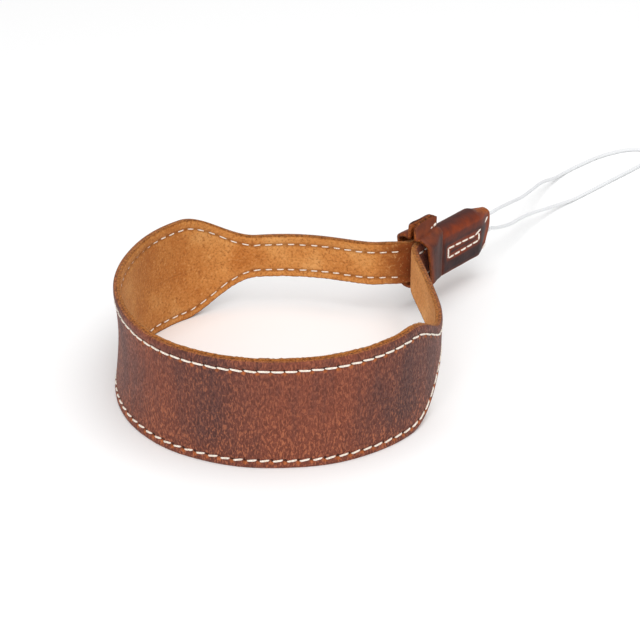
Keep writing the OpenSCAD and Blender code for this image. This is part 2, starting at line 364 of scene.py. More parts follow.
def band_leather():
    """Oiled pull-up cowhide: smooth, waxy and reddish brown, lighter where it is bent or
    pulled at the seams and edges, with smoky bands across the strip and a fine long grain,
    with painted highlights on its crests and painted shade in its creases and needle holes."""
    material, tree = new_material("oiled_pull_up_leather")
    colours = bpy.context.scene.strap_colours
    uv = add(tree, "ShaderNodeUVMap", uv_map="strip")
    parts = add(tree, "ShaderNodeSeparateXYZ", {0: uv.outputs[0]})
    place = add(tree, "ShaderNodeTexCoord")
    high = add(tree, "ShaderNodeSeparateXYZ", {0: place.outputs["Object"]})
    share = add(tree, "ShaderNodeMath", {0: parts.outputs[0], 1: BAND_L * MM}, operation="DIVIDE")
    drift = add(tree, "ShaderNodeTexNoise", {"Vector": place.outputs["Object"], "Scale": 45,
                                             "Detail": 3})
    nudge = add(tree, "ShaderNodeMath", {0: drift.outputs[0], 1: 0.05, 2: -0.025},
                operation="MULTIPLY_ADD")
    where = add(tree, "ShaderNodeMath", {0: share.outputs[0], 1: nudge.outputs[0]},
                operation="ADD")
    # Broad bands across the strip: smoky where it lies flat, pulled where it is bent
    plain, smoky, light = (*colours.plain, 1), (*colours.smoke, 1), (*colours.pulled, 1)
    base = add(tree, "ShaderNodeValToRGB", {0: where.outputs[0]},
               stops=[(0, plain), (0.45, plain), (0.5, light), (0.55, smoky), (0.6, light),
                      (0.66, light), (0.7, smoky), (0.8, plain)])
    # Soft streaks about 6 mm wide that run across the strip
    streak_at = add(tree, "ShaderNodeMapping", {0: uv.outputs[0], "Scale": (165, 34, 1)})
    streak = add(tree, "ShaderNodeTexNoise", {"Vector": streak_at.outputs[0], "Scale": 1,
                                              "Detail": 4, "Roughness": 0.5,
                                              "Distortion": 0.5})
    streak_amount = add(tree, "ShaderNodeValToRGB", {0: streak.outputs[0]},
                        stops=[(0.45, GREY[0]), (0.75, [0.6] * 3 + [1])])
    streaked = blend(tree, streak_amount.outputs[0], base.outputs[0], (*colours.pulled, 1))
    smoke = add(tree, "ShaderNodeValToRGB", {0: streak.outputs[0]},
                stops=[(0.25, [0.75] * 3 + [1]), (0.5, GREY[0])])
    smoked = blend(tree, smoke.outputs[0], streaked, (*colours.smoke, 1))
    # Lighter, orange leather near the lower and upper edges
    low_zone = ranged(tree, high.outputs[2], 0.0095, 0.001, 0, 0.62)
    pulled = blend(tree, low_zone, smoked, (*colours.pulled, 1))
    patch = add(tree, "ShaderNodeTexNoise", {"Vector": place.outputs["Object"], "Scale": 420,
                                             "Detail": 2})
    # Needle holes between the stitches, just above the seam's line, painted dark as shade
    # inside them, and the worn, orange leather that the thread has pulled up just below each
    seam = add(tree, "ShaderNodeAttribute", attribute_name="seam")
    turns = add(tree, "ShaderNodeMath", {0: parts.outputs[0], 1: 1 / (PITCH * MM), 2: 0.5},
                operation="MULTIPLY_ADD")
    cycle = add(tree, "ShaderNodeMath", {0: turns.outputs[0]}, operation="FRACT")
    aside = add(tree, "ShaderNodeMath", {0: cycle.outputs[0], 1: PITCH, 2: -PITCH / 2},
                operation="MULTIPLY_ADD")

    def spot(up, edge, core, amount):
        """How far inside a round spot at each hole a place lies. edge and core are radii."""
        rise = add(tree, "ShaderNodeMath", {0: seam.outputs["Fac"], 1: up}, operation="SUBTRACT")
        square = add(tree, "ShaderNodeMath", {0: aside.outputs[0], 1: aside.outputs[0]},
                     operation="MULTIPLY")
        reach = add(tree, "ShaderNodeMath", {0: rise.outputs[0], 1: rise.outputs[0],
                                             2: square.outputs[0]}, operation="MULTIPLY_ADD")
        return ranged(tree, reach.outputs[0], edge ** 2, core ** 2, 0, amount)

    halo = spot(-0.6, 0.85, 0.3, 1.7)
    wear = add(tree, "ShaderNodeMath", {0: halo, 1: patch.outputs[0]},
               operation="MULTIPLY", use_clamp=True)
    worn = blend(tree, wear.outputs[0], pulled, (*colours.halo, 1))
    # Painted shade: a near-black spot inside each needle hole
    hole = spot(0.15, 0.62, 0.36, 0.95)
    hole_shaded = blend(tree, hole, worn, linear("#34100a"))
    rim = add(tree, "ShaderNodeAttribute", attribute_name="rim")
    fibre = add(tree, "ShaderNodeTexNoise", {"Vector": place.outputs["Object"], "Scale": 1400,
                                             "Detail": 3})
    cut = add(tree, "ShaderNodeValToRGB", {0: fibre.outputs[0]},
              stops=[(0.34, linear("#66341a")), (0.62, linear("#ac6831"))])
    coloured = blend(tree, rim.outputs["Fac"], hole_shaded, cut.outputs[0])
    # Wrinkles of the grain, about 1.2 mm long across the strip and 0.5 mm apart: painted
    # highlights on the crests, stronger low down, and painted shade in the creases between them
    grain_at = add(tree, "ShaderNodeMapping", {0: uv.outputs[0], "Scale": (1900, 760, 1)})
    grain = add(tree, "ShaderNodeTexNoise", {"Vector": grain_at.outputs[0], "Scale": 1,
                                             "Detail": 2, "Roughness": 0.5,
                                             "Distortion": 0.8})
    # Painted highlight: the crests take the lighter ridge colour
    crest_glint = ranged(tree, grain.outputs[0], 0.53, 0.62, 0, 1)
    low_glint = ranged(tree, high.outputs[2], 0.018, 0.004, 0.34, 0.62)
    clouds = ranged(tree, streak.outputs[0], 0.35, 0.65, 0.5, 1.3)
    glint_share = add(tree, "ShaderNodeMath", {0: low_glint, 1: clouds},
                      operation="MULTIPLY")
    lit = add(tree, "ShaderNodeMath", {0: crest_glint, 1: glint_share.outputs[0]},
              operation="MULTIPLY", use_clamp=True)
    glinted = blend(tree, lit.outputs[0], coloured, (*colours.ridge_glint, 1))
    # Painted shade: the creases are darkened to two thirds
    crease_shade = ranged(tree, grain.outputs[0], 0.36, 0.5, 0.66, 1)
    final = blend(tree, 1.0, glinted, crease_shade, "MULTIPLY")
    relief = add(tree, "ShaderNodeBump", {"Height": grain.outputs[0], "Strength": 0.8,
                                          "Distance": 0.0006})
    shine = ranged(tree, grain.outputs[0], 0.35, 0.65, 0.7, 0.5)
    shaded(tree, {"Base Color": final, "Roughness": shine, "Normal": relief.outputs[0],
                  "Specular IOR Level": 0.3})
    return material


def suede():
    """Split-leather suede: a matt, napped, tan-orange face with darker flecks where the
    nap lies the other way, and darker cut edges with loose fibres."""
    material, tree = new_material("napped_suede")
    colours = bpy.context.scene.strap_colours
    place = add(tree, "ShaderNodeTexCoord")
    spot = place.outputs["Object"]
    cloud = add(tree, "ShaderNodeTexNoise", {"Vector": spot, "Scale": 95, "Detail": 4})
    base = add(tree, "ShaderNodeValToRGB", {0: cloud.outputs[0]},
               stops=[(0.3, linear("#c67c3a")), (0.55, (*colours.suede, 1)),
                      (0.75, linear("#e9ad69"))])
    # Painted shade: the wide pad's inside is darker, as if it got less light, and the rear
    # narrow end is darkened near the keeper, partly as painted shade and partly as oil it rubs in
    uv = add(tree, "ShaderNodeUVMap", uv_map="strip")
    parts = add(tree, "ShaderNodeSeparateXYZ", {0: uv.outputs[0]})
    share = add(tree, "ShaderNodeMath", {0: parts.outputs[0], 1: BAND_L * MM}, operation="DIVIDE")
    shade_and_oil = add(tree, "ShaderNodeValToRGB", {0: share.outputs[0]},
                  stops=[(0.088, linear("#a37f74")), (0.112, GREY[1]), (0.24, GREY[1]),
                         (0.34, linear("#ddd0bc")), (0.78, linear("#ddd0bc")), (0.86, GREY[1])])
    shaded_and_oiled = blend(tree, 1.0, base.outputs[0], shade_and_oil.outputs[0], "MULTIPLY")
    # Nap in tufts about 0.5 mm across
    fleck = add(tree, "ShaderNodeTexNoise", {"Vector": spot, "Scale": 1250, "Detail": 3,
                                             "Roughness": 0.65})
    fleck_amount = add(tree, "ShaderNodeValToRGB", {0: fleck.outputs[0]},
                       stops=[(0.3, [0.75] * 3 + [1]), (0.5, GREY[0])])
    flecked = blend(tree, fleck_amount.outputs[0], shaded_and_oiled, (*colours.fleck, 1))
    bright_amount = add(tree, "ShaderNodeValToRGB", {0: fleck.outputs[0]},
                        stops=[(0.56, GREY[0]), (0.74, [0.45] * 3 + [1])])
    napped = blend(tree, bright_amount.outputs[0], flecked, linear("#f2c080"))
    seam = add(tree, "ShaderNodeAttribute", attribute_name="seam")
    beside = add(tree, "ShaderNodeMath", {0: seam.outputs["Fac"]}, operation="ABSOLUTE")
    seam_zone = ranged(tree, beside.outputs[0], 0.9, 0.2, 0, 0.5)
    pressed = blend(tree, seam_zone, napped, linear("#7d451c"))
    rim = add(tree, "ShaderNodeAttribute", attribute_name="rim")
    cut = add(tree, "ShaderNodeValToRGB", {0: fleck.outputs[0]},
              stops=[(0.35, linear("#6a3918")), (0.62, linear("#b06d33"))])
    coloured = blend(tree, rim.outputs["Fac"], pressed, cut.outputs[0])
    relief = add(tree, "ShaderNodeBump", {"Height": fleck.outputs[0], "Strength": 0.7,
                                          "Distance": 0.0005})
    shaded(tree, {"Base Color": coloured, "Roughness": 0.95, "Specular IOR Level": 0.15,
                  "Normal": relief.outputs[0], "Sheen Weight": 0.25, "Sheen Roughness": 0.5,
                  "Sheen Tint": linear("#ffd9a8")})
    return material


def small_leather(name, dark, mid, pulled, edge):
    """Oiled pull-up leather of a small folded piece: nearly black-purple where it lies flat,
    red-brown where folding has pulled the oil away, with raw fibrous edges."""
    material, tree = new_material(name)
    place = add(tree, "ShaderNodeTexCoord")
    spot = place.outputs["Object"]
    cloud = add(tree, "ShaderNodeTexNoise", {"Vector": spot, "Scale": 170, "Detail": 4,
                                             "Roughness": 0.6})
    base = add(tree, "ShaderNodeValToRGB", {0: cloud.outputs[0]},
               stops=[(0.36, linear(dark)), (0.64, linear(mid))])
    worn = add(tree, "ShaderNodeAttribute", attribute_name="worn")
    patch = add(tree, "ShaderNodeTexNoise", {"Vector": spot, "Scale": 380, "Detail": 4})
    ragged = ranged(tree, patch.outputs[0], 0.3, 0.7, 0.55, 1.25)
    wear = add(tree, "ShaderNodeMath", {0: worn.outputs["Fac"], 1: ragged},
               operation="MULTIPLY", use_clamp=True)
    rubbed = blend(tree, wear.outputs[0], base.outputs[0], linear(pulled))
    rim = add(tree, "ShaderNodeAttribute", attribute_name="rim")
    fibre = add(tree, "ShaderNodeTexNoise", {"Vector": spot, "Scale": 1300, "Detail": 3})
    cut = add(tree, "ShaderNodeValToRGB", {0: fibre.outputs[0]},
              stops=[(0.35, linear("#5e2c16")), (0.65, linear(edge))])
    coloured = blend(tree, rim.outputs["Fac"], rubbed, cut.outputs[0])
    # Pores and creases about 0.5 mm apart
    grain = add(tree, "ShaderNodeTexVoronoi", {"Vector": spot, "Scale": 1700},
                feature="SMOOTH_F1")
    relief = add(tree, "ShaderNodeBump", {"Height": grain.outputs[0], "Strength": 0.3,
                                          "Distance": 0.0002})
    shaded(tree, {"Base Color": coloured, "Roughness": 0.55, "Normal": relief.outputs[0],
                  "Specular IOR Level": 0.2})
    return material


def waxed_thread():
    """Waxed polyester thread: cream, with a soft gloss and a fine twist."""
    material, tree = new_material("waxed_thread")
    place = add(tree, "ShaderNodeTexCoord")
    twist = add(tree, "ShaderNodeTexNoise", {"Vector": place.outputs["Object"], "Scale": 2600,
                                             "Detail": 2})
    colours = bpy.context.scene.strap_colours
    tone = add(tree, "ShaderNodeValToRGB", {0: twist.outputs[0]},
               stops=[(0.3, linear("#dccbb4")), (0.6, (*colours.thread, 1))])
    # Plies of the twist, 0.35 mm apart
    plies = add(tree, "ShaderNodeTexWave", {"Vector": place.outputs["Object"], "Scale": 900},
                bands_direction="DIAGONAL")
    relief = add(tree, "ShaderNodeBump", {"Height": plies.outputs["Fac"], "Strength": 0.5,
                                          "Distance": 0.00012})
    shaded(tree, {"Base Color": tone.outputs[0], "Roughness": 0.55, "Normal": relief.outputs[0]})
    return material


def braided_cord():
    """Round braided polyester cord: white, slightly shiny, with a braid that repeats about
    every millimetre and painted shade in its grooves."""
    material, tree = new_material("braided_cord")
    uv = add(tree, "ShaderNodeUVMap", uv_map="strip")
    turned_at = add(tree, "ShaderNodeMapping", {0: uv.outputs[0], "Rotation": (0, 0, 0.9)})
    other_at = add(tree, "ShaderNodeMapping", {0: uv.outputs[0], "Rotation": (0, 0, -0.9)})
    one = add(tree, "ShaderNodeTexWave", {"Vector": turned_at.outputs[0], "Scale": 480})
    two = add(tree, "ShaderNodeTexWave", {"Vector": other_at.outputs[0], "Scale": 480})
    braid = add(tree, "ShaderNodeMath", {0: one.outputs["Fac"], 1: two.outputs["Fac"]},
                operation="MAXIMUM")
    # Painted shade: grey in the braid's grooves between strands, near white on their crowns
    tone = add(tree, "ShaderNodeValToRGB", {0: braid.outputs[0]},
               stops=[(0.2, linear("#b9bcc0")), (0.8, linear("#f1f2f3"))])
    relief = add(tree, "ShaderNodeBump", {"Height": braid.outputs[0], "Strength": 0.4,
                                          "Distance": 0.0001})
    shaded(tree, {"Base Color": tone.outputs[0], "Roughness": 0.5, "Normal": relief.outputs[0]})
    return material


def once(make):
    """The material that make returns, made only the first time."""
    if make.__name__ not in MADE:
        MADE[make.__name__] = make()
    return MADE[make.__name__]


MADE = {}


def tab_leather():
    """The tab's finish."""
    return small_leather("tab_pull_up_leather", "#27181a", "#3d2422", "#833412", "#bd6a28")


def keeper_leather():
    """The keeper's finish."""
    return small_leather("keeper_pull_up_leather", "#33201f", "#4d2923", "#8a3f1a", "#a55a26")


# ---- The band -----------------------------------------------------------------------------------

def edge_steps(s):
    """Distances from the lower edge of the band at which its faces have rows of points."""
    height = 2 * half_height(s)
    near = [0.12, 0.45, 0.9, 1.5, 2.0, 2.5, 3.0, 3.6, 4.4]
    top = [height - d for d in (5.0, 4.2, 3.5, 3.0, 2.5, 1.9, 1.3, 0.7, 0.35, 0.12)]
    inner = [mix(near[-1], top[0], i / 11) for i in range(1, 11)]
    return near + inner + top


def seam_distance(s, up):
    """Distance above the nearer seam's line, for a point up from the lower edge."""
    return min(up - BOTTOM_INSET, up + TOP_INSET - 2 * half_height(s), key=abs)


def needle_dip(s, seam):
    """How far a stitch hole pulls the face in."""
    beside = abs((s / PITCH + 0.5) % 1 - 0.5) * PITCH
    return 0.35 * bump(beside, 0.5) * bump(seam, 0.5)


def leather_ring(s):
    """The outer leather's section: a flat back, soft edges and a face that the seams pull in."""
    sizes = bpy.context.scene.strap_sizes
    half = half_height(s)
    base = MID_Z - half
    sewn = TAB_START < STRAP_END - min(s, BAND_L - s) + 12
    ring = []
    for up in edge_steps(s):
        seam = seam_distance(s, up)
        edge = min(up, 2 * half - up)
        depth = sizes.seam_groove / MM * bump(seam, 0.7) + needle_dip(s, seam)
        swell = sizes.edge_crown / MM * bump(edge - 1.3, 0.8)
        round_off = 0.3 * (1 - ease(edge / 0.6))
        calm = 0 if sewn else 1
        out = LEATHER - calm * depth + calm * swell - round_off
        ring.append((on_band(s, base + up, out), {"rim": 0.0, "seam": seam}))
    top = base + 2 * half
    for share in (0.75, 0.5, 0.25):
        ring.append((on_band(s, top, LEATHER * share), {"rim": 1.0, "seam": NO_SEAM}))
    for share in (1, 0.5, 0):
        ring.append((on_band(s, mix(base, top, share), 0), {"rim": 1.0, "seam": NO_SEAM}))
    for share in (0.25, 0.5, 0.75):
        ring.append((on_band(s, base, LEATHER * share), {"rim": 1.0, "seam": NO_SEAM}))
    return ring


def suede_ring(s):
    """The lining's section, with a napped face and ragged cut edges."""
    sizes = bpy.context.scene.strap_sizes
    half = half_height(s)
    base, top = MID_Z - half, MID_Z + half
    inside = STRAP_END - min(s, BAND_L - s) > 0
    calm = 0 if inside else 1
    ring = []
    for share in (0, 0.5, 1):
        ring.append((on_band(s, mix(base, top, share), 0), {"rim": 1.0, "seam": NO_SEAM}))

    def rag(offset):
        spot = Vector((s * 1.7, offset * 7.3, 1.9))
        return calm * sizes.edge_rag / MM * (noise.noise(spot) + 0.6 * noise.noise(spot * 2.7))

    for share in (0.2, 0.45, 0.7, 0.9):
        ring.append((on_band(s, top + calm * 0.25 + rag(share), -LINING * share),
                     {"rim": 1.0, "seam": NO_SEAM}))
    for up in reversed(edge_steps(s)):
        seam = mix(seam_distance(s, up), NO_SEAM, nap_depth(s, False) / NAP)
        edge = min(up, 2 * half - up)
        nap = 0.07 * noise.noise(Vector((s * 1.3, up * 1.3, 8.0)))
        depth = 0.28 * bump(seam, 0.8) + needle_dip(s, seam)
        round_off = 0.3 * (1 - ease(edge / 0.7))
        out = LINING - calm * (depth + nap) - round_off
        ring.append((on_band(s, base + up, -out),
                     {"rim": 0.75 * (1 - ease(edge / 0.5)), "seam": seam}))
    for share in (0.9, 0.7, 0.45, 0.2):
        ring.append((on_band(s, base + 0.1 + max(-0.08, rag(5 + share)), -LINING * share),
                     {"rim": 1.0, "seam": NO_SEAM}))
    return ring


BAND_STATIONS = [i * PITCH / 5 for i in range(int(BAND_L / PITCH * 5) + 1)]


def seam_height(s, upper):
    """Height of the seam's line."""
    if upper:
        return MID_Z + half_height(s) - TOP_INSET
    return MID_Z - half_height(s) + BOTTOM_INSET


def nap_depth(s, upper):
    """How deep a stitch lies buried in the nap of the lining: deep in the upper seam round the
    left side, and on the front narrow end."""
    left = upper * ease((s - 112) / 12) * ease((206 - s) / 12)
    front = ease((s - BAND_L + STRAP_END + NARROW + 12) / 8)
    return NAP * max(left, front)


def sew_seam(upper, first, last, out, length, slant, width, height):
    """All stitches of one seam, from station first to last, on the face at distance out."""
    bm = bmesh.new()
    dice = random.Random(40 + upper)
    turn = math.copysign(1, out)
    for k in range(math.ceil(first / PITCH), math.floor(last / PITCH)):
        middle = (k + 0.5) * PITCH - 0.12 * turn + dice.uniform(-0.12, 0.12)
        tilt = slant + dice.uniform(-0.06, 0.06)
        long = length + dice.uniform(-0.2, 0.15)
        lift = dice.uniform(-0.08, 0.08)

        def put(x, y, z, middle=middle, tilt=tilt, lift=lift):
            s = middle + x * math.cos(tilt) - y * math.sin(tilt)
            height = seam_height(s, upper) + x * math.sin(tilt) + y * math.cos(tilt) + lift
            return on_band(s, height, out + turn * z + (nap_depth(s, upper) if out < 0 else 0))

        add_stitch(bm, long, width, height, put)
    return bm


# ---- The tab and the keeper ---------------------------------------------------------------------

def tab_reach(z):
    """Where the tab's nose ends at a height: it leans back low down and is round at the top."""
    high = TAB_HIGH - 1.4
    lean = 2 * (1 - ease((z - TAB_LOW) / 9))
    corner = 0
    if z > high - 4:
        corner = 4 - math.sqrt(max(0, 16 - (min(z, high) - high + 4) ** 2))
    return TAB_END - lean - 0.85 * corner


def tab_ring(a):
    """The tab's section: one strip folded over the straps, its two plies sewn at the nose."""
    outside = tab_side(a)
    inside = mix(TAB_IN, 0.16, ease((a - STRAP_END) / 4.2))
    top = TAB_HIGH - 2.3 * max(0, (a - TAB_END + NOSE_L) / NOSE_L)
    low = TAB_LOW
    ring = []

    def put(b, z, rim, worn):
        end = tab_reach(z)
        straight = TAB_END - NOSE_L - 3
        at = a if a <= straight else mix(straight, end, (a - straight) / (TAB_END - straight))
        slow = 0.18 * noise.noise(Vector((at * 0.16, z * 0.16, b)))
        edge = min(at - TAB_START, z - low)
        soft = 0.3 * (1 - ease(edge / 0.7)) if abs(b) > outside - 0.05 else 0
        b = math.copysign(abs(b) + slow - soft - sewn_dip(at, z) * (rim < 0.5), b)
        near_end = ease((at - end + 0.8) / 0.8)
        crown = ease((at - end + 5.5) / 4) * ease((z - top + 2.6) / 2)
        worn = max(worn, min(1, 8 * sewn_dip(at, z)) if rim < 0.5 else 0)
        ring.append((on_axis(at, b, z), {"rim": max(rim, 0.7 * near_end, 0.75 * crown),
                                         "worn": max(worn, ease((at - end + 4.2) / 2.8),
                                                     0.35 * (1 - ease(edge / 1.4)))}))

    rows = [0.15, 0.6, 1.4, 2.6, 4, 5.1, 5.9, 7.3, 8.4, 9.2, 10.6, 12, 13]
    for up in rows:
        share = min(1, up / 13)
        put(-outside, mix(low, top - outside, share), 0, 0.5 * ease((up - 9.5) / 3.5))
    for k in range(1, 16):
        turn = math.pi * k / 16
        put(-outside * math.cos(turn), top - outside + outside * math.sin(turn), 0,
            1 - 0.85 * math.sin(turn) ** 2)
    for up in reversed(rows):
        share = min(1, up / 13)
        put(outside, mix(low, top - outside, share), 0, 0.5 * ease((up - 9.5) / 3.5))
    for share in (0.2, 0.5, 0.8):
        put(mix(outside, inside, share), low, 1, 0)
    inner_top = top - TAB_T - inside
    for share in (0.02, 0.4, 0.75, 1):
        put(inside, mix(low, inner_top, share), 1, 0)
    for k in range(1, 6):
        turn = math.pi * k / 6
        put(inside * math.cos(turn), inner_top + inside * math.sin(turn), 1, 0)
    for share in (1, 0.75, 0.4, 0.02):
        put(-inside, mix(low, inner_top, share), 1, 0)
    for share in (0.8, 0.5, 0.2):
        put(-mix(outside, inside, share), low, 1, 0)
    return ring


# The box of stitches on each side of the tab, as corners (along, height), from the low rear
# corner towards the nose, and the last stitch, which rises towards the nose
BOX = [(15.5, 15), (31.5, 15.5), (31.5, 18), (15.5, 18.5)]
LAST_STITCH = [(29.5, 18), (32.5, 19.5)]


def sewn_dip(a, z):
    """How far the box of stitches pulls the tab's sides in."""
    depth = 0
    for (a0, z0), (a1, z1) in zip(BOX, BOX[1:] + BOX[:1]):
        along_side = Vector((a1 - a0, z1 - z0))
        t = min(1, max(0, Vector((a - a0, z - z0)).dot(along_side) / along_side.length_squared))
        gap = (Vector((a0, z0)) + t * along_side - Vector((a, z))).length
        depth = max(depth, 0.22 * bump(gap, 0.8))
    return depth


def tab_side(a):
    """Half the tab's thickness at distance a along it."""
    return mix(TAB_IN + TAB_T, NOSE_HALF, ease((a - (TAB_END - NOSE_L)) / NOSE_L))


def sew_between(bm, start, end, count, side, width, length_share=0.86):
    """Stitches in a row on one side of the tab, between two places (along, height)."""
    step = (Vector(end) - Vector(start)) / count
    run = step.normalized()
    for k in range(count):
        middle = Vector(start) + (k + 0.5) * step

        def put(x, y, z, middle=middle):
            a = middle.x + x * run.x - y * run.y
            height = middle.y + x * run.y + y * run.x
            return on_axis(a, side * (tab_side(a) - 0.1 + z), height)

        add_stitch(bm, step.length * length_share, width, 0.5, put)


def keeper_line():
    """The keeper's inside, as (across, height), from the top of the front ply of its fin, down
    the front, underneath and up the rear ply."""
    line = []
    inner_top = FIN_TOP - 5.0
    for z in spaced(FIN_TOP + 0.7, inner_top + 0.9, 0.6):
        line.append((0.02, z))
    centre = (KEEPER_IN - 1.7, inner_top - 1.1)
    for k in range(1, 8):
        turn = math.radians(90 - 90 * k / 8)
        line.append((centre[0] + 1.7 * math.cos(turn), centre[1] + 1.7 * math.sin(turn)))
    floor = KEEPER_LOW + KEEPER_T
    for z in spaced(inner_top - 1.3, floor + 0.7, 0.9):
        line.append((KEEPER_IN, z))
    for k in range(1, 4):
        turn = math.radians(90 * k / 4)
        line.append((KEEPER_IN - 0.7 + 0.7 * math.cos(turn), floor + 0.7 - 0.7 * math.sin(turn)))
    for share in (0.6, 0.2):
        line.append((KEEPER_IN * share, floor))
    front = [Vector((-b, z)) for b, z in line]
    rear = [Vector((b, z)) for b, z in reversed(line)]
    return front + rear


def keeper_mouth(b, z):
    """Where the keeper's edge starts: over the mouth at its fin, further back low down, with
    a lip under the rear strap."""
    low = 5.3 if b < 0 else 4.3
    lip = 2.3 * ease((KEEPER_LOW + 2.6 - z) / 1.2) if b > 0 else 0
    return mix(KEEPER_START, low, 1 - ease((z - 17.5) / 9.5)) - lip


def keeper_ring(k):
    """The keeper's strip across its width, at point k of its line."""
    line = keeper_line()
    spot = line[k]
    run = (line[min(k + 1, len(line) - 1)] - line[max(k - 1, 0)]).normalized()
    outward = Vector((run.y, -run.x))
    start = keeper_mouth(spot.x, spot.y)
    wall = ease((27.5 - spot.y) / 3)
    tip = min(k, len(line) - 1 - k) * 0.6
    ring = []

    def put(a, out, rim):
        open_out = 2.9 * ease((11.8 - a) / 6.8) * wall * ease((spot.y - KEEPER_LOW) / 3)
        parted = 0.6 * ease((4.5 - a) / 3) * ease((spot.y - 26.5) / 2)
        across = math.copysign(open_out + parted, spot.x)
        edge = min(a - start, KEEPER_END - a)
        soft = 0.28 * (1 - ease(edge / 0.6)) if out > KEEPER_T - 0.1 else 0
        slow = 0.12 * noise.noise(Vector((a * 0.3, k * 0.2, 4.4)))
        b, z = spot + outward * (out - soft + slow * (out > 0.6))
        corner = 0.9 * (1 - ease(tip / 1.6)) * bump(edge, 1.2)
        corner += 1.3 * ease((6.5 - a) / 4.5) * ease((KEEPER_LOW + 2.6 - z) / 1.2) * (b > 0)
        worn = max(0.75 * (1 - ease((a - start) / 2.2)), 0.55 * ease((z - 24) / 3),
                   0.3 * bump(KEEPER_END - a, 0.8))
        ring.append((on_axis(a, b + across, z - corner), {"rim": rim, "worn": worn}))

    across = [0.0, 0.04, 0.1, 0.2, 0.32, 0.45, 0.6, 0.75, 0.88, 0.96, 1.0]
    for share in across:
        put(mix(start + 0.1, KEEPER_END - 0.1, share), KEEPER_T, 0)
    for share in (0.75, 0.45, 0.15):
        put(KEEPER_END, KEEPER_T * share, 1)
    for share in reversed(across[::2]):
        put(mix(start + 0.1, KEEPER_END - 0.1, share), 0, 1)
    for share in (0.15, 0.45, 0.75):
        put(start, KEEPER_T * share, 1)
    return ring


# ---- The cord -----------------------------------------------------------------------------------

def cord_line():
    """The cord's middle line, from above the nose round to below it."""
    low = CORD_D / 2
    high_exit = NOSE + EXIT_RISE * UP
    low_exit = NOSE - EXIT_RISE * UP

    def routed(spot, leave):
        return Vector((NOSE.x + spot[0], NOSE.y + spot[1], low + spot[2] * (leave.z - low)))

    knot = NOSE - 4.5 * AXIS
    points = [knot, high_exit]
    points += [routed(spot, high_exit) for spot in CORD_OUT]
    points += [routed(spot, low_exit) for spot in CORD_BACK]
    points += [low_exit, knot]
    line = []
    for i in range(1, len(points) - 2):
        p0, p1, p2, p3 = points[i - 1:i + 3]
        for k in range(6):
            t = k / 6
            line.append(0.5 * (2 * p1 + (p2 - p0) * t + (2 * p0 - 5 * p1 + 4 * p2 - p3) * t * t
                               + (3 * p1 - p0 - 3 * p2 + p3) * t ** 3))
    line = [high_exit - 1.4 * AXIS] + line + [low_exit, low_exit - 1.4 * AXIS]
    for point in line:
        point.z = max(point.z, low)
    return line


def cord_ring_at(line, i):
    """Twelve points round the cord."""
    run = (line[min(i + 1, len(line) - 1)] - line[max(i - 1, 0)]).normalized()
    side = run.cross(UP).normalized()
    up = side.cross(run)
    ring = []
    for k in range(12):
        turn = math.tau * k / 12
        ring.append((line[i] + CORD_D / 2 * (math.cos(turn) * side + math.sin(turn) * up), {}))
    return ring


# ---- Settings -----------------------------------------------------------------------------------

def colour(name, description, code):
    return bpy.props.FloatVectorProperty(name=name, description=description, subtype="COLOR",
                                         size=3, min=0, max=1, default=linear(code)[:3])


def length(name, description, millimetres):
    return bpy.props.FloatProperty(name=name, description=description, unit="LENGTH",
                                   precision=5, min=0, default=millimetres * MM)


class StrapSizes(bpy.types.PropertyGroup):
    """Sizes of the strap's finer detail"""

    thread_width: length("Thread width", "Width of the sewing thread", 0.66)
    seam_groove: length("Seam groove", "How deep a seam is pulled into the leather", 0.16)
    edge_crown: length("Edge crown", "How far the leather swells outside a seam", 0.14)
    edge_rag: length("Edge rag", "How ragged the cut edge of the suede is", 0.22)


class StrapColours(bpy.types.PropertyGroup):
    """Colours of the strap's leather, suede and thread"""

    plain: colour("Leather", "The leather's middle tone", "#6f4037")
    pulled: colour("Pulled leather", "Where the leather has been pulled lighter", "#82432f")
    # Painted highlight: the colour laid on the grain's crests as if they catch the light
    ridge_glint: colour("Grain ridges", "The ridges of the leather's grain", "#c0714a")
    smoke: colour("Smoky leather", "The dark, smoky bands", "#58342f")
    halo: colour("Needle wear", "Worn leather round the stitches", "#b8642f")
    suede: colour("Suede", "The suede's middle tone", "#d9944f")
    fleck: colour("Suede flecks", "Flecks where the nap lies the other way", "#935225")
    thread: colour("Thread", "The sewing thread", "#fff7ec")


class StrapStage(bpy.types.PropertyGroup):
    """Camera and light"""

    elevation: bpy.props.FloatProperty(
        name="Elevation", description="Height of the camera above the horizon", subtype="ANGLE",
        unit="ROTATION", default=math.radians(29.15))
    azimuth: bpy.props.FloatProperty(
        name="Azimuth", description="Direction the camera looks in, from +Y towards +X",
        subtype="ANGLE", unit="ROTATION", default=math.radians(1.24))
    distance: length("Distance", "From the camera to the floor at the picture's middle", 677)
    lens: bpy.props.FloatProperty(
        name="Lens", description="Focal length in millimetres", default=118.6)
    key: bpy.props.FloatProperty(
        name="Key light", description="Power of the light overhead, in watts", default=9)
    fill: bpy.props.FloatProperty(
        name="Fill light", description="Power of the light at the front, in watts", default=6)
    ambient: bpy.props.FloatProperty(
        name="Ambient light", description="Strength of the light from all round", default=0.56)


# ---- Operators ----------------------------------------------------------------------------------

class STRAP_OT_camera(bpy.types.Operator):
    """Adds the camera"""

    bl_idname = "strap.add_camera"
    bl_label = "Camera"

    def execute(self, context):
        stage = context.scene.strap_stage
        target = Vector((2.75, 26.15, 0)) * MM
        flat = math.cos(stage.elevation)
        look = Vector((math.sin(stage.azimuth) * flat, math.cos(stage.azimuth) * flat,
                       -math.sin(stage.elevation)))
        data = bpy.data.cameras.new("camera")
        data.lens = stage.lens
        data.sensor_width = 36
        data.clip_start = 0.05
        data.clip_end = 20
        camera = bpy.data.objects.new("camera", data)
        camera.location = target - stage.distance * look
        camera.rotation_euler = look.to_track_quat("-Z", "Y").to_euler()
        context.scene.collection.objects.link(camera)
        context.scene.camera = camera
        return {"FINISHED"}


